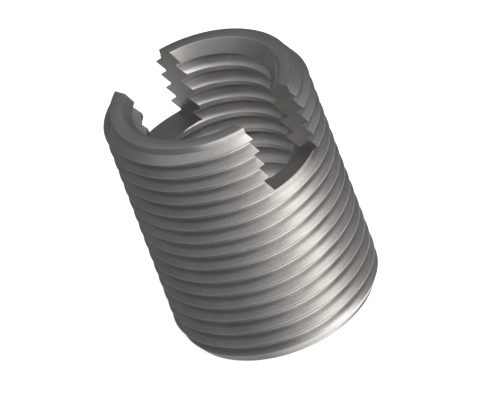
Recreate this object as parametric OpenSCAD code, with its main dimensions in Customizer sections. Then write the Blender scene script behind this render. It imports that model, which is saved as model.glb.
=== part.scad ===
// Slotted self-tapping threaded insert: one turned, threaded and slotted steel bush.
// It stands on its plain foot, with the slotted cutting end up and the slot along X.
// The origin is the centre of the lower face, and lengths are in millimetres.

/* [Body] */
// Length over both end faces
body_l = 20.4; // [14:0.1:28]
// Height of the plain turned neck at the slotted end
neck_h = 0.55; // [0.2:0.05:2]
// How far the neck lies under the root of the outer thread
neck_relief = 0.05; // [0.04:0.01:0.4]
// Height of the lead-in cone between the neck and the full thread
lead_h = 0.55; // [0.3:0.05:3]
// Width of the chamfer round the lower face, measured across
foot_step = 0.8; // [0.2:0.05:1.2]
// Height of that chamfer
foot_h = 1.35; // [0.4:0.05:3]

/* [Outer thread] */
// Diameter over the crests
outer_d = 16; // [15.6:0.1:20]
// Rise of a crest in one turn, right-handed
outer_pitch = 1.25; // [1:0.05:2]
// Depth from the sharp crest to the root
outer_depth = 0.75; // [0.4:0.05:0.9]
// Width of the flat at the root
root_flat = 0.15; // [0.05:0.01:0.3]
// Angle from the slot at which the crest meets the lower face
crest_angle = 84; // [0:1:359]
// Straight steps in one turn
turn_steps = 48; // [24:4:60]

/* [Inner thread] */
// Nominal diameter of the screw that fits
screw_d = 12; // [8:0.5:12.5]
// Pitch of the screw that fits
screw_pitch = 1.5; // [0.75:0.25:2]
// How much wider than the screw the countersinks at both ends are
mouth_over = 0.3; // [0.1:0.1:1]
// Full angle of the countersinks
mouth_angle = 90; // [60:5:120]

/* [Slot] */
// Width of the driving and cutting slot
slot_w = 5.2; // [2:0.1:8]
// Depth of the slot below the upper face
slot_depth = 6.2; // [2:0.1:10]

/* [Hidden] */
steel = [0.60, 0.59, 0.57];
// Cutting solids run this far past the faces that they cut
past = 1;
$fn = 96;

crest_r = outer_d / 2;
root_r = crest_r - outer_depth;
neck_r = root_r - neck_relief;
foot_r = crest_r - foot_step;

// The bore is drilled to the crests of the inner thread, by the metric rule
bore_r = (screw_d - 1.0825 * screw_pitch) / 2;
mouth_r = (screw_d + mouth_over) / 2;
mouth_h = (mouth_r - bore_r) / tan(mouth_angle / 2);

// One tooth of the outer thread, upwards from its crest, as [radius, height]
tooth = [
    [crest_r, 0],
    [root_r, (outer_pitch - root_flat) / 2],
    [root_r, (outer_pitch + root_flat) / 2],
];
marks = len(tooth);

// The threaded rod starts over one turn below the lower face and ends above the upper
rod_start = -outer_pitch * (2 + crest_angle / 360);
turns = ceil((body_l - rod_start) / outer_pitch + 0.5);
steps = turns * turn_steps;
rod_end = rod_start + (turns + 1) * outer_pitch;

// Corner of the tooth after some steps along the helix
function rod_point(step, mark) =
    let (angle = 360 * step / turn_steps)
    [
        tooth[mark][0] * cos(angle),
        tooth[mark][0] * sin(angle),
        rod_start + tooth[mark][1] + outer_pitch * step / turn_steps,
    ];

// Number of that corner in the list of points
// The mark after the last is the crest of the next turn
function corner(step, mark) =
    mark < marks
        ? step * marks + mark
        : (step + turn_steps) * marks;

// Two triangles between a step and the next, and between a mark and the next
function facets(step, mark) = [
    [corner(step, mark), corner(step, mark + 1), corner(step + 1, mark + 1)],
    [corner(step, mark), corner(step + 1, mark + 1), corner(step + 1, mark)],
];

// Triangles from a loop of corners to one point on the axis
function fan(tip, loop) = [
    for (i = [0 : len(loop) - 1])
        [tip, loop[i], loop[(i + 1) % len(loop)]]
];

// Rod with the outer thread all along it, closed at each end by a fan
module threaded_rod() {
    lower_tip = (steps + 1) * marks;
    upper_tip = lower_tip + 1;
    last_turn = steps - turn_steps;
    points = [
        for (step = [0 : steps], mark = [0 : marks - 1]) rod_point(step, mark),
        [0, 0, rod_start],
        [0, 0, rod_end],
    ];
    flanks = [
        for (step = [0 : steps - 1], mark = [0 : marks - 2])
            each facets(step, mark)
    ];
    crests = [
        for (step = [0 : last_turn - 1]) each facets(step, marks - 1)
    ];
    lower_loop = [
        for (step = [0 : turn_steps]) corner(step, 0),
        for (mark = [marks - 1 : -1 : 1]) corner(0, mark),
    ];
    upper_loop = [
        for (step = [steps : -1 : last_turn]) corner(step, marks - 1),
        for (mark = [0 : marks - 2]) corner(steps, mark),
    ];
    polyhedron(
        points,
        concat(
            flanks,
            crests,
            fan(lower_tip, lower_loop),
            fan(upper_tip, upper_loop)
        ),
        convexity = 10
    );
}

// Turned outline: foot chamfer, room for the thread, lead-in cone and neck
module turned_blank() {
    room_r = crest_r + past / 2;
    foot_slope = foot_h / (crest_r - foot_r);
    lead_slope = lead_h / (crest_r - neck_r);
    neck_z = body_l - neck_h;
    rotate_extrude()
        polygon([
            [0, 0],
            [foot_r, 0],
            [room_r, foot_slope * (room_r - foot_r)],
            [room_r, neck_z - lead_slope * (room_r - neck_r)],
            [neck_r, neck_z],
            [neck_r, body_l],
            [0, body_l],
        ]);
}

// Drilled hole with a countersink at each end
module drilled_hole() {
    translate([0, 0, -past])
        cylinder(h = body_l + 2 * past, r = bore_r);
    for (end = [0, 1])
        translate([0, 0, end * body_l])
            mirror([0, 0, end])
                translate([0, 0, -past])
                    cylinder(
                        h = mouth_h + past,
                        r1 = mouth_r + past * tan(mouth_angle / 2),
                        r2 = bore_r
                    );
}

// Slot milled straight across the upper end
module milled_slot() {
    reach = crest_r + past;
    translate([-reach, -slot_w / 2, body_l - slot_depth])
        cube([2 * reach, slot_w, slot_depth + past]);
}

module insert() {
    color(steel)
        difference() {
            intersection() {
                threaded_rod();
                turned_blank();
            }
            drilled_hole();
            milled_slot();
        }
}

insert();
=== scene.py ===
import math

import bmesh
import bpy
from mathutils import Matrix, Vector


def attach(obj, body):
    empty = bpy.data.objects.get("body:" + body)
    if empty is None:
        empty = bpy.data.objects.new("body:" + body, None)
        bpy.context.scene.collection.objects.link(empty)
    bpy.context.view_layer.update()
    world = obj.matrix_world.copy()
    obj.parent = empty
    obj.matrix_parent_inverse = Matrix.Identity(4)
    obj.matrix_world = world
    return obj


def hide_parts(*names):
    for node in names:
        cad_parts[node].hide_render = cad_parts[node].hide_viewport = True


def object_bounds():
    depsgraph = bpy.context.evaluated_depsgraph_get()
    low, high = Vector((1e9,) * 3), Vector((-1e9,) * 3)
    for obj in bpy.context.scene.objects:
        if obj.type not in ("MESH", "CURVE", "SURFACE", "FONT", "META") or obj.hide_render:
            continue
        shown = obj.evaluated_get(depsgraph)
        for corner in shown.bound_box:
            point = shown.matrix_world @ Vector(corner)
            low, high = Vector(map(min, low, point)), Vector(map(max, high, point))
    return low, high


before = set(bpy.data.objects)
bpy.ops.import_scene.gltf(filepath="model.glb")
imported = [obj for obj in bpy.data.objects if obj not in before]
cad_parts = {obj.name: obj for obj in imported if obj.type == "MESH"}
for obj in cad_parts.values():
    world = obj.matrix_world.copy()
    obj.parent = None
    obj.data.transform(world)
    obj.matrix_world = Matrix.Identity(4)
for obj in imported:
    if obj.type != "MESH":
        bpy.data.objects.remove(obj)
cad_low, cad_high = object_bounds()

# Slotted self-tapping threaded insert: one steel bush that is turned, threaded outside,
# drilled, tapped and slotted. It is modelled in millimetres, by the order of the work on
# it, and brought to metres at the end.
MM = 0.001
FULL_TURN = 2 * math.pi

# The outside of the insert comes from the frame
CREST_R = (cad_high.x - cad_low.x) / MM / 2
LENGTH = (cad_high.z - cad_low.z) / MM

# Outer thread: the crest meets the lower face at CREST_ANGLE from the slot
PITCH = 1.25
ROOT_R = CREST_R - 0.75
ROOT_ROUND = 0.12
FLANK_ANGLE = math.radians(34.5)
CREST_ANGLE = math.radians(84)
# Crests aren't knife sharp, but rounded by this radius
CREST_ROUND = 0.025

# Turned neck, lead-in cone and foot chamfer
NECK_R = ROOT_R - 0.05
NECK_H = 0.55
LEAD_H = 0.55
FOOT_R = CREST_R - 0.8
FOOT_H = 1.35
# Turned edges are broken over this length
EDGE_BREAK = 0.07

# Inner thread, by the metric 60 degree form
SCREW_R = 6.0
SCREW_PITCH = 1.5
GROOVE_DEPTH = 1.0825 * SCREW_PITCH / 2
GROOVE_FLAT = SCREW_PITCH / 8
GROOVE_FLANK = math.radians(30)
BORE_R = SCREW_R - GROOVE_DEPTH
# The tap's own teeth end this far inside the bore
TAP_SPARE = 0.1
# Height at which the middle of a groove crosses the direction of the slot
GROOVE_RISE = 0.545
MOUTH_R = SCREW_R + 0.15
MOUTH_H = MOUTH_R - BORE_R

SLOT_W = 5.2
SLOT_DEPTH = 6.2

# Cutters run this far past what they cut, and skim an end face at this distance
PAST = 1.0
SKIM = 0.001
# Corners nearer than this are one
MERGE_GAP = 0.0005
# Steps along a rounded crest, root or broken edge
ROUND_STEPS = 3
# Faces that meet at less than this are shaded as one smooth surface
SMOOTH_ANGLE = math.radians(25)
# Straight steps in a full turn, by half of which turned and wound solids are apart
TURN_STEPS = 120
HALF_STEP = FULL_TURN / TURN_STEPS / 2


def alone(piece):
    """Leave only this piece selected and active."""
    bpy.ops.object.select_all(action="DESELECT")
    piece.select_set(True)
    bpy.context.view_layer.objects.active = piece


def draw_line(name, points):
    """A bent line in the XZ plane, drawn point by point from [radius, height] pairs."""
    bpy.ops.object.select_all(action="DESELECT")
    bpy.ops.mesh.primitive_plane_add(size=1)
    line = bpy.context.object
    line.name = name
    bpy.ops.object.mode_set(mode="EDIT")
    bpy.ops.mesh.merge(type="CENTER")
    corners = [Vector((r, 0, z)) for r, z in points]
    bpy.ops.transform.translate(value=corners[0])
    for here, there in zip(corners, corners[1:]):
        bpy.ops.mesh.extrude_vertices_move(TRANSFORM_OT_translate={"value": there - here})
    bpy.ops.object.mode_set(mode="OBJECT")
    return line


def break_edges(line, edges):
    """Round the corners of a drawn line that lie at these [radius, height] places."""
    alone(line)
    bpy.ops.object.mode_set(mode="EDIT")
    bpy.ops.mesh.select_mode(type="VERT")
    bpy.ops.mesh.select_all(action="DESELECT")
    mesh = bmesh.from_edit_mesh(line.data)
    for corner in mesh.verts:
        for r, z in edges:
            if (corner.co - Vector((r, 0, z))).length < EDGE_BREAK / 2:
                corner.select_set(True)
    bmesh.update_edit_mesh(line.data)
    bpy.ops.mesh.bevel(offset=EDGE_BREAK, segments=ROUND_STEPS, affect="VERTICES")
    bpy.ops.object.mode_set(mode="OBJECT")


def clean(piece):
    """Merge doubled points and point every face outwards."""
    alone(piece)
    bpy.ops.object.mode_set(mode="EDIT")
    bpy.ops.mesh.select_all(action="SELECT")
    bpy.ops.mesh.remove_doubles(threshold=MERGE_GAP)
    bpy.ops.mesh.normals_make_consistent(inside=False)
    bpy.ops.object.mode_set(mode="OBJECT")


def turned(name, points, edges=()):
    """A solid turned round the axis from an outline that starts and ends on it."""
    solid = draw_line(name, points)
    break_edges(solid, edges)
    solid.data.transform(Matrix.Rotation(HALF_STEP, 4, "Z"))
    bpy.ops.object.mode_set(mode="EDIT")
    bpy.ops.mesh.select_all(action="SELECT")
    bpy.ops.mesh.spin(
        steps=TURN_STEPS, angle=FULL_TURN, center=(0, 0, 0), axis=(0, 0, 1)
    )
    bpy.ops.object.mode_set(mode="OBJECT")
    clean(solid)
    return solid


def close_end(solid, upper):
    """Close one open end of a wound solid by a fan of faces to its middle."""
    bpy.ops.object.mode_set(mode="EDIT")
    bpy.ops.mesh.select_mode(type="EDGE")
    bpy.ops.mesh.select_all(action="DESELECT")
    mesh = bmesh.from_edit_mesh(solid.data)
    heights = [corner.co.z for corner in mesh.verts]
    middle = (min(heights) + max(heights)) / 2
    for edge in mesh.edges:
        above = edge.verts[0].co.z > middle
        edge.select_set(edge.is_boundary and above == upper)
    bmesh.update_edit_mesh(solid.data)
    bpy.ops.mesh.extrude_edges_move()
    bpy.ops.mesh.merge(type="CENTER")
    bpy.ops.mesh.select_mode(type="VERT")
    bpy.ops.object.mode_set(mode="OBJECT")


def wound(name, tooth, pitch, start, turns):
    """A closed threaded rod: one tooth's outline wound up round the axis."""
    solid = draw_line(name, [(r, z + start) for r, z in tooth])
    helix = solid.modifiers.new("helix", "SCREW")
    helix.axis = "Z"
    helix.angle = FULL_TURN
    helix.screw_offset = pitch
    helix.iterations = turns
    helix.steps = helix.render_steps = TURN_STEPS
    bpy.ops.object.modifier_apply(modifier=helix.name)
    clean(solid)
    close_end(solid, upper=False)
    close_end(solid, upper=True)
    clean(solid)
    return solid


def machine(piece, tool, finish, how="DIFFERENCE"):
    """Cut the piece with a tool that leaves its own finish on the faces that it cuts."""
    tool.data.materials.clear()
    tool.data.materials.append(finish)
    alone(piece)
    step = piece.modifiers.new(how.lower(), "BOOLEAN")
    step.operation = how
    step.solver = "EXACT"
    step.material_mode = "TRANSFER"
    step.object = tool
    bpy.ops.object.modifier_apply(modifier=step.name)
    bpy.data.objects.remove(tool)


def arc(centre_r, centre_z, radius, start, end):
    """Points on an arc in the XZ plane, with its angles measured from the radial line."""
    points = []
    for step in range(ROUND_STEPS + 1):
        angle = start + (end - start) * step / ROUND_STEPS
        points.append((
            centre_r + radius * math.cos(angle), centre_z + radius * math.sin(angle)
        ))
    return points


def outer_tooth():
    """One pitch of the outer thread, from the middle of a rounded root to the next."""
    sweep = math.pi / 2 - FLANK_ANGLE
    root = ROOT_R + ROOT_ROUND
    low = arc(root, 0, ROOT_ROUND, math.pi, math.pi - sweep)
    tip = arc(CREST_R - CREST_ROUND, PITCH / 2, CREST_ROUND, -sweep, sweep)
    high = arc(root, PITCH, ROOT_ROUND, math.pi + sweep, math.pi)
    return low + tip + high


def inner_tooth():
    """One pitch of the tap that cuts the inner thread, from the middle of a groove."""
    low_r = BORE_R - TAP_SPARE
    flank = (SCREW_R - low_r) * math.tan(GROOVE_FLANK)
    half = GROOVE_FLAT / 2
    return [
        (SCREW_R, 0),
        (SCREW_R, half),
        (low_r, half + flank),
        (low_r, SCREW_PITCH - half - flank),
        (SCREW_R, SCREW_PITCH - half),
        (SCREW_R, SCREW_PITCH),
    ]


def blank():
    """Turned blank: foot chamfer, room for the thread, lead-in cone and neck."""
    room_r = CREST_R + PAST / 2
    foot_slope = FOOT_H / (CREST_R - FOOT_R)
    lead_slope = LEAD_H / (CREST_R - NECK_R)
    neck_z = LENGTH - NECK_H
    points = [
        (0, 0),
        (FOOT_R, 0),
        (room_r, foot_slope * (room_r - FOOT_R)),
        (room_r, neck_z - lead_slope * (room_r - NECK_R)),
        (NECK_R, neck_z),
        (NECK_R, LENGTH),
        (0, LENGTH),
    ]
    return turned("blank", points, edges=[(FOOT_R, 0), (NECK_R, LENGTH)])


def drill():
    """Drill with a countersink at each end."""
    wide_r = MOUTH_R + PAST
    foot = (MOUTH_R + SKIM, -SKIM)
    rim = (MOUTH_R + SKIM, LENGTH + SKIM)
    points = [
        (0, -PAST),
        (wide_r, -PAST),
        (wide_r, -SKIM),
        foot,
        (BORE_R, MOUTH_H),
        (BORE_R, LENGTH - MOUTH_H),
        rim,
        (wide_r, LENGTH + SKIM),
        (wide_r, LENGTH + PAST),
        (0, LENGTH + PAST),
    ]
    return turned("drill", points, edges=[foot, rim])


def thread_rod():
    """Rod with the outer thread all along it, longer than the insert at both ends."""
    start = -PITCH * (2.5 + CREST_ANGLE / FULL_TURN)
    turns = math.ceil((LENGTH - start) / PITCH + 1)
    return wound("threaded_insert", outer_tooth(), PITCH, start, turns)


def tap():
    """Tap for the inner thread, wound so that a groove lies at the height that is wanted."""
    start = GROOVE_RISE - 3 * SCREW_PITCH
    turns = math.ceil((LENGTH - start) / SCREW_PITCH + 2)
    return wound("tap", inner_tooth(), SCREW_PITCH, start, turns)


def slot_mill():
    """Block that a milling cutter sweeps as it cuts the slot across the upper end."""
    reach = 2 * (CREST_R + PAST)
    height = SLOT_DEPTH + PAST
    middle = LENGTH + PAST - height / 2
    bpy.ops.object.select_all(action="DESELECT")
    bpy.ops.mesh.primitive_cube_add(size=1, location=(0, 0, middle))
    bpy.ops.transform.resize(value=(reach, SLOT_W, height))
    mill = bpy.context.object
    bpy.ops.object.transform_apply()
    return mill


def threaded_insert(finishes):
    """The whole insert, cut step by step from a threaded rod."""
    insert = thread_rod()
    insert.data.materials.append(finishes["thread"])
    machine(insert, blank(), finishes["turned"], "INTERSECT")
    machine(insert, drill(), finishes["turned"])
    machine(insert, tap(), finishes["tapped"])
    machine(insert, slot_mill(), finishes["milled"])
    insert.data.transform(Matrix.Scale(MM, 4))
    alone(insert)
    bpy.ops.object.shade_smooth_by_angle(angle=SMOOTH_ANGLE)
    return insert


# Bare steel, rubbed paler on the crests, with a dark tint of painted shade in the thread grooves;
# the tapped and milled colours are a paler and a darker copy of it, painting light into the bore
# and shade onto the slot
STEEL = (0.6, 0.588, 0.572, 1)
RUBBED_STEEL = (0.86, 0.85, 0.83, 1)
# Painted light: the tapped colour is paler than the steel to lift the bore, which the lamps leave
# in shade
PAINTED_LIGHT_BORE_STEEL = (0.8, 0.795, 0.79, 1)
# Painted shade: the milled colour is darker than the steel to darken the slot's faces and floor
PAINTED_SHADE_SLOT_STEEL = (0.5, 0.49, 0.475, 1)
# Painted shade: a dark tint for the thread's flanks and grooves, where shade falls
PAINTED_SHADE_STEEL = (0.16, 0.155, 0.15, 1)

# Noise is read between these two levels
NOISE_LOW = 0.3
NOISE_HIGH = 0.7
# Clouds across the steel: how many in a millimetre, and the tone at both ends
CLOUDS_PER_MM = 0.35
CLOUD_DARK = 0.9
CLOUD_LIGHT = 1.06
# How much the lathe's lines drift, and how much the mill's are drawn out along the slot
LATHE_DRIFT = 0.03
MILL_STRETCH = 0.04
# Relief of the tool marks: depth in mm, strength, and the share of the grain in it
MARKS_DEPTH = 0.004
MARKS_STRENGTH = 0.6
GRAIN_SHARE = 0.5
# Sockets of a Mix node that blends colours, and of one that blends values
MIX_FIRST = 6
MIX_SECOND = 7
MIX_RESULT = 2
BLEND_FIRST = 2
BLEND_SECOND = 3


def node(tree, kind, values=None, **settings):
    """Add a node, set its properties, and set or link its inputs."""
    made = tree.nodes.new("ShaderNode" + kind)
    for key, value in settings.items():
        setattr(made, key, value)
    for key, value in (values or {}).items():
        if isinstance(value, bpy.types.NodeSocket):
            tree.links.new(value, made.inputs[key])
        else:
            made.inputs[key].default_value = value
    return made


def maths(tree, operation, *values):
    """Result of one Math node."""
    return node(tree, "Math", dict(enumerate(values)), operation=operation).outputs[0]


def new_group(name, inputs, outputs):
    """An empty node group with named inputs and outputs, as (group, inlet, outlet)."""
    group = bpy.data.node_groups.new(name, "ShaderNodeTree")
    for label, kind, value in inputs:
        socket = group.interface.new_socket(label, in_out="INPUT", socket_type=kind)
        if value is not None:
            socket.default_value = value
    for label, kind in outputs:
        group.interface.new_socket(label, in_out="OUTPUT", socket_type=kind)
    inlet = group.nodes.new("NodeGroupInput").outputs
    outlet = group.nodes.new("NodeGroupOutput")
    return group, inlet, outlet


def turned_marks():
    """Fine lines that a lathe leaves round the axis, which drift a little on one side."""
    group, inlet, outlet = new_group(
        "turned_marks",
        [("Place", "NodeSocketVector", None), ("Lines per mm", "NodeSocketFloat", 10.0)],
        [("Height", "NodeSocketFloat")],
    )
    parts = node(group, "SeparateXYZ", {0: inlet["Place"]}).outputs
    across = maths(group, "POWER", maths(
        group, "ADD",
        maths(group, "MULTIPLY", parts["X"], parts["X"]),
        maths(group, "MULTIPLY", parts["Y"], parts["Y"]),
    ), 0.5)
    drift = maths(group, "MULTIPLY", parts["X"], LATHE_DRIFT)
    profile = node(group, "CombineXYZ", {"X": across, "Y": drift, "Z": parts["Z"]})
    scale = maths(group, "DIVIDE", inlet["Lines per mm"], MM)
    lines = node(
        group, "TexNoise",
        {"Vector": profile.outputs[0], "Scale": scale, "Detail": 2.0, "Roughness": 0.6},
    )
    group.links.new(lines.outputs["Fac"], outlet.inputs["Height"])
    return group


def milled_marks():
    """Straight lines that a cutter leaves as it feeds along the slot."""
    group, inlet, outlet = new_group(
        "milled_marks",
        [("Place", "NodeSocketVector", None), ("Lines per mm", "NodeSocketFloat", 8.0)],
        [("Height", "NodeSocketFloat")],
    )
    scale = maths(group, "DIVIDE", inlet["Lines per mm"], MM)
    stretched = node(
        group, "VectorMath", {0: inlet["Place"], 1: (MILL_STRETCH, 1.0, 1.0)},
        operation="MULTIPLY",
    )
    lines = node(
        group, "TexNoise",
        {"Vector": stretched.outputs[0], "Scale": scale, "Detail": 2.0, "Roughness": 0.6},
    )
    group.links.new(lines.outputs["Fac"], outlet.inputs["Height"])
    return group


def steel_grain():
    """Speckle of the bare metal, and slow clouds of slightly darker oiled steel."""
    group, inlet, outlet = new_group(
        "steel_grain",
        [("Place", "NodeSocketVector", None), ("Grain mm", "NodeSocketFloat", 0.1)],
        [("Speckle", "NodeSocketFloat"), ("Clouds", "NodeSocketFloat")],
    )
    size = maths(group, "MULTIPLY", inlet["Grain mm"], MM)
    fine = node(
        group, "TexNoise",
        {"Vector": inlet["Place"], "Scale": maths(group, "DIVIDE", 1.0, size), "Detail": 3.0},
    )
    slow = node(
        group, "TexNoise",
        {"Vector": inlet["Place"], "Scale": CLOUDS_PER_MM / MM, "Detail": 4.0},
    )
    group.links.new(fine.outputs["Fac"], outlet.inputs["Speckle"])
    group.links.new(slow.outputs["Fac"], outlet.inputs["Clouds"])
    return group


def ring_band():
    """Mask that is 1 on surfaces at one distance from the axis and fades on both sides."""
    group, inlet, outlet = new_group(
        "ring_band",
        [
            ("Place", "NodeSocketVector", None),
            ("Radius mm", "NodeSocketFloat", 8.0),
            ("Reach mm", "NodeSocketFloat", 0.1),
        ],
        [("Mask", "NodeSocketFloat")],
    )
    flat = node(group, "VectorMath", {0: inlet["Place"], 1: (1.0, 1.0, 0.0)}, operation="MULTIPLY")
    across = node(group, "VectorMath", {0: flat.outputs[0]}, operation="LENGTH")
    across_mm = maths(group, "DIVIDE", across.outputs["Value"], MM)
    off = maths(group, "ABSOLUTE", maths(group, "SUBTRACT", across_mm, inlet["Radius mm"]))
    fade = node(
        group, "MapRange",
        {
            "Value": off, "From Min": 0.0, "From Max": inlet["Reach mm"],
            "To Min": 1.0, "To Max": 0.0,
        },
        interpolation_type="SMOOTHSTEP",
    )
    group.links.new(fade.outputs[0], outlet.inputs["Mask"])
    return group


def steel_finish(name, marks, lines_per_mm, base, speckled, bands, smooth, rough):
    """Steel with tool marks, a speckle, tinted bands of painted shade and rubbed wear, and two ends
    of its roughness.
    """
    finish = bpy.data.materials.new(name)
    finish.use_nodes = True
    tree = finish.node_tree
    shader = tree.nodes["Principled BSDF"]
    place = node(tree, "TexCoord").outputs["Object"]
    tool = node(tree, "Group", node_tree=marks)
    tree.links.new(place, tool.inputs["Place"])
    tool.inputs["Lines per mm"].default_value = lines_per_mm
    grain = node(tree, "Group", node_tree=GROUPS["grain"])
    tree.links.new(place, grain.inputs["Place"])

    tone = node(
        tree, "MapRange",
        {"Value": grain.outputs["Clouds"], "From Min": NOISE_LOW, "From Max": NOISE_HIGH,
         "To Min": CLOUD_DARK, "To Max": CLOUD_LIGHT},
    )
    speckle = node(
        tree, "MapRange",
        {"Value": grain.outputs["Speckle"], "From Min": NOISE_LOW, "From Max": NOISE_HIGH,
         "To Min": 1 - speckled, "To Max": 1 + speckled},
    )
    shade = maths(tree, "MULTIPLY", tone.outputs[0], speckle.outputs[0])
    worked = node(
        tree, "Mix", {"Factor": 1.0, MIX_FIRST: base, MIX_SECOND: shade},
        data_type="RGBA", blend_type="MULTIPLY",
    )
    colour = worked.outputs[MIX_RESULT]
    for radius, reach, amount, tint in bands:
        band = node(tree, "Group", node_tree=GROUPS["band"])
        tree.links.new(place, band.inputs["Place"])
        band.inputs["Radius mm"].default_value = radius
        band.inputs["Reach mm"].default_value = reach
        amount_here = maths(tree, "MULTIPLY", band.outputs["Mask"], amount)
        layer = node(
            tree, "Mix", {"Factor": amount_here, MIX_FIRST: colour, MIX_SECOND: tint},
            data_type="RGBA",
        )
        colour = layer.outputs[MIX_RESULT]
    tree.links.new(colour, shader.inputs["Base Color"])

    gloss = node(
        tree, "MapRange",
        {"Value": tool.outputs["Height"], "From Min": NOISE_LOW, "From Max": NOISE_HIGH,
         "To Min": smooth, "To Max": rough},
    )
    tree.links.new(gloss.outputs[0], shader.inputs["Roughness"])
    grains = maths(tree, "MULTIPLY", grain.outputs["Speckle"], GRAIN_SHARE)
    relief = maths(tree, "ADD", tool.outputs["Height"], grains)
    bump = node(
        tree, "Bump",
        {"Strength": MARKS_STRENGTH, "Distance": MARKS_DEPTH * MM, "Height": relief},
    )
    tree.links.new(bump.outputs["Normal"], shader.inputs["Normal"])
    shader.inputs["Metallic"].default_value = 1.0
    return finish


GROUPS = {
    "turned": turned_marks(),
    "milled": milled_marks(),
    "grain": steel_grain(),
    "band": ring_band(),
}

# Bands round the axis, by distance from it, reach, amount and colour: painted shade darkens the
# flanks beside the roots of the outer thread and the grooves of the inner one
THREAD_BANDS = (
    (ROOT_R + 0.2, 0.22, 0.34, PAINTED_SHADE_STEEL),
    (CREST_R, 0.1, 0.65, RUBBED_STEEL),
)
TAPPED_BANDS = (
    (SCREW_R, 0.2, 0.4, PAINTED_SHADE_STEEL),
    (BORE_R, 0.07, 0.4, RUBBED_STEEL),
)
# Each finish, with its tool marks, lines in a millimetre, colour, amount of speckle,
# bands, and its roughness at both ends
finishes = {
    "thread": steel_finish(
        "cut_thread_steel", GROUPS["turned"], 9.0, STEEL, 0.13, THREAD_BANDS, 0.31, 0.43
    ),
    "turned": steel_finish(
        "turned_steel", GROUPS["turned"], 12.0, STEEL, 0.05, (), 0.28, 0.4
    ),
    "tapped": steel_finish(
        "tapped_steel", GROUPS["turned"], 9.0, PAINTED_LIGHT_BORE_STEEL, 0.09, TAPPED_BANDS, 0.3, 0.42
    ),
    "milled": steel_finish(
        "milled_steel", GROUPS["milled"], 10.0, PAINTED_SHADE_SLOT_STEEL, 0.05, (), 0.28, 0.42
    ),
}


# The view of the photograph: a parallel projection, turned and rolled to match it
VIEW_AZIMUTH = math.radians(53.32)
VIEW_ELEVATION = math.radians(33.88)
VIEW_ROLL = math.radians(20.86)
PHOTO_W = 500
PHOTO_H = 400
PX_PER_MM = 13.38
# Pixel of the middle of the upper face, and how far off the camera stands
RIM_CENTRE_PX = (201.02, 88.58)
VIEW_DISTANCE = 200 * MM
VIEW_NEAREST = 1 * MM
VIEW_FURTHEST = 10


def photo_camera():
    """Camera for a parallel projection, with the photograph's angles and framing."""
    flat_right = Vector((math.cos(VIEW_AZIMUTH), math.sin(VIEW_AZIMUTH), 0))
    back = Vector((
        math.sin(VIEW_AZIMUTH) * math.cos(VIEW_ELEVATION),
        -math.cos(VIEW_AZIMUTH) * math.cos(VIEW_ELEVATION),
        math.sin(VIEW_ELEVATION),
    ))
    flat_up = back.cross(flat_right)
    right = math.cos(VIEW_ROLL) * flat_right - math.sin(VIEW_ROLL) * flat_up
    up = math.sin(VIEW_ROLL) * flat_right + math.cos(VIEW_ROLL) * flat_up
    rim_right = (RIM_CENTRE_PX[0] - PHOTO_W / 2) / PX_PER_MM * MM
    rim_up = (PHOTO_H / 2 - RIM_CENTRE_PX[1]) / PX_PER_MM * MM
    rim_centre = Vector((0, 0, LENGTH * MM))

    lens = bpy.data.cameras.new("camera")
    lens.type = "ORTHO"
    lens.ortho_scale = PHOTO_W / PX_PER_MM * MM
    lens.clip_start = VIEW_NEAREST
    lens.clip_end = VIEW_FURTHEST
    camera = bpy.data.objects.new("camera", lens)
    bpy.context.scene.collection.objects.link(camera)
    stand = Matrix((right, up, back)).transposed().to_4x4()
    stand.translation = rim_centre - rim_right * right - rim_up * up + VIEW_DISTANCE * back
    camera.matrix_world = stand
    bpy.context.scene.camera = camera


# Light around the insert, by bearing in the view: 0 is right, 90 away, 180 left, 270 near
FLOOR_SIZE = 4
FLOOR_WHITE = (0.9, 0.9, 0.9, 1)
FLOOR_ROUGHNESS = 0.9
FLOOR_GLOW = 0.8
# The floor lies this far under the foot, so that the two faces aren't in one plane
FLOOR_GAP = 0.01 * MM
# The sky's glow, from this height of a direction up to straight overhead
SKY_LOW = 0.2
SKY_TOP = 0.55
SKY_START = 0.7
WHITE = (1, 1, 1, 1)
# Lamps: name, bearing, elevation, distance, width and height in mm, brightness
LAMPS = (
    ("key", 347, 60, 240, 150, 110, 2.1),
    ("front", 300, 18, 120, 110, 70, 1.7),
    ("top", 350, 84, 150, 50, 50, 0.8),
)
LAMP_COLOUR = (1.0, 0.97, 0.93)
# Power of a flat lamp for each unit of its area and brightness
LAMP_POWER = 4
# Straight steps in a card's curve
CARD_STEPS = 24
# Cards that only the steel reflects, as name, bearings, glow at both ends, and the
# [distance, height] corners of their section
CARDS = (
    ("left_card", (135, 250), (0.12, 0.2), ((9.5, 0.02), (14, 0.02), (14, 20))),
    ("near_card", (250, 300), (0.35, 1.15), ((9.5, 0.02), (60, 0.02))),
    ("flash_card", (300, 350), (1.15, 1.1), ((9.5, 0.02), (60, 0.02))),
    ("left_foot_card", (135, 250), (0.3, 0.32), ((6.8, 0.02), (9.5, 0.02))),
    ("near_foot_card", (250, 300), (0.34, 1.6), ((6.8, 0.02), (9.5, 0.02))),
    ("right_foot_card", (300, 350), (1.6, 1.2), ((6.8, 0.02), (9.5, 0.02))),
    ("back_card", (45, 250), (0.13, 0.16), ((30, 0.2), (30, 45))),
    ("right_card", (-5, 45), (0.24, 0.13), ((30, 0.2), (30, 45))),
)


def glow_where_seen(tree, strength):
    """Glow for camera, glossy and transmission rays only."""
    path = node(tree, "LightPath").outputs
    seen = maths(
        tree, "MAXIMUM", path["Is Camera Ray"],
        maths(tree, "MAXIMUM", path["Is Glossy Ray"], path["Is Transmission Ray"]),
    )
    return maths(tree, "MULTIPLY", seen, strength)


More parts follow.
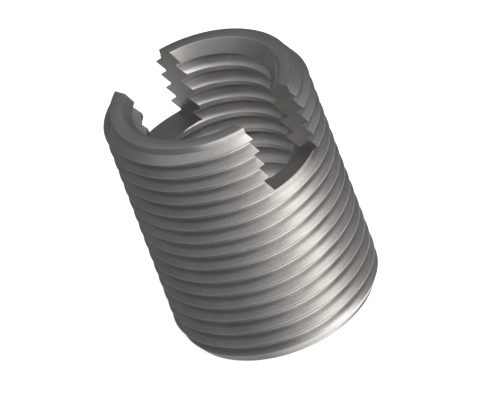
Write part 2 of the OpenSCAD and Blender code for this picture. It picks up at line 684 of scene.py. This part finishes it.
def pale_floor():
    """White floor that takes a soft shadow and shows white to the camera and the steel."""
    bpy.ops.object.select_all(action="DESELECT")
    bpy.ops.mesh.primitive_plane_add(size=FLOOR_SIZE, location=(0, 0, -FLOOR_GAP))
    floor = bpy.context.object
    floor.name = "floor"
    paint = bpy.data.materials.new("pale_floor")
    paint.use_nodes = True
    tree = paint.node_tree
    shader = tree.nodes["Principled BSDF"]
    shader.inputs["Base Color"].default_value = FLOOR_WHITE
    shader.inputs["Roughness"].default_value = FLOOR_ROUGHNESS
    glow = node(tree, "Emission", {"Strength": glow_where_seen(tree, FLOOR_GLOW)})
    both = node(tree, "AddShader", {0: shader.outputs[0], 1: glow.outputs[0]})
    tree.links.new(both.outputs[0], tree.nodes["Material Output"].inputs["Surface"])
    floor.data.materials.append(paint)


def reflection_card(name, bearings, glows, corners):
    """Curved card beside the insert that shows in the steel and nowhere else."""
    start, end = bearings
    card = draw_line(name, corners)
    card.data.transform(Matrix.Rotation(VIEW_AZIMUTH + math.radians(start), 4, "Z"))
    bpy.ops.object.mode_set(mode="EDIT")
    bpy.ops.mesh.select_all(action="SELECT")
    bpy.ops.mesh.spin(
        steps=CARD_STEPS, angle=math.radians(end - start), center=(0, 0, 0), axis=(0, 0, -1)
    )
    bpy.ops.object.mode_set(mode="OBJECT")
    card.data.transform(Matrix.Scale(MM, 4))
    card.visible_camera = False
    card.visible_diffuse = False
    card.visible_transmission = False
    card.visible_shadow = False
    paint = bpy.data.materials.new(name)
    paint.use_nodes = True
    tree = paint.node_tree
    half = math.radians(end - start) / 2
    middle = VIEW_AZIMUTH + math.radians(start + end) / 2
    place = node(tree, "VectorRotate", {
        "Vector": node(tree, "TexCoord").outputs["Object"], "Angle": -middle,
    }, rotation_type="Z_AXIS").outputs[0]
    parts = node(tree, "SeparateXYZ", {0: place}).outputs
    strength = node(tree, "MapRange", {
        "Value": maths(tree, "ARCTAN2", parts["Y"], parts["X"]),
        "From Min": -half, "From Max": half, "To Min": glows[0], "To Max": glows[1],
    })
    glow = node(tree, "Emission", {"Strength": strength.outputs[0]})
    tree.links.new(glow.outputs[0], tree.nodes["Material Output"].inputs["Surface"])
    card.data.materials.append(paint)


def studio_sky():
    """Soft grey sky, brightest overhead, that the camera sees as white."""
    sky = bpy.data.worlds.new("sky")
    sky.use_nodes = True
    bpy.context.scene.world = sky
    tree = sky.node_tree
    up = node(tree, "SeparateXYZ", {0: node(tree, "TexCoord").outputs["Generated"]}).outputs["Z"]
    level = node(
        tree, "MapRange",
        {"Value": up, "From Min": SKY_START, "From Max": 1.0, "To Min": SKY_LOW, "To Max": SKY_TOP},
    ).outputs[0]
    camera_ray = node(tree, "LightPath").outputs["Is Camera Ray"]
    seen = node(
        tree, "Mix", {"Factor": camera_ray, BLEND_FIRST: level, BLEND_SECOND: 1.0},
        data_type="FLOAT",
    )
    tree.links.new(seen.outputs[0], tree.nodes["Background"].inputs["Strength"])
    tree.nodes["Background"].inputs["Color"].default_value = WHITE


def bearing_direction(bearing, elevation):
    """Direction from the insert, by bearing in the view and height above the horizon."""
    turn = VIEW_AZIMUTH + math.radians(bearing)
    rise = math.radians(elevation)
    return Vector((
        math.cos(turn) * math.cos(rise), math.sin(turn) * math.cos(rise), math.sin(rise)
    ))


def soft_lamp(name, bearing, elevation, distance, width, height, radiance):
    """Flat lamp facing the middle of the insert, with its power from its brightness."""
    light = bpy.data.lights.new(name, "AREA")
    light.shape = "RECTANGLE"
    light.size = width * MM
    light.size_y = height * MM
    light.energy = LAMP_POWER * light.size * light.size_y * radiance
    light.color = LAMP_COLOUR
    lamp = bpy.data.objects.new(name, light)
    bpy.context.scene.collection.objects.link(lamp)
    middle = Vector((0, 0, LENGTH * MM / 2))
    direction = bearing_direction(bearing, elevation)
    lamp.location = middle + direction * distance * MM
    lamp.rotation_euler = direction.to_track_quat("Z", "Y").to_euler()
    lamp.visible_camera = False


insert = threaded_insert(finishes)
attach(insert, "root")
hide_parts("insert")

photo_camera()
pale_floor()
studio_sky()
for card in CARDS:
    reflection_card(*card)
for lamp in LAMPS:
    soft_lamp(*lamp)
bpy.context.scene.view_settings.view_transform = "Standard"
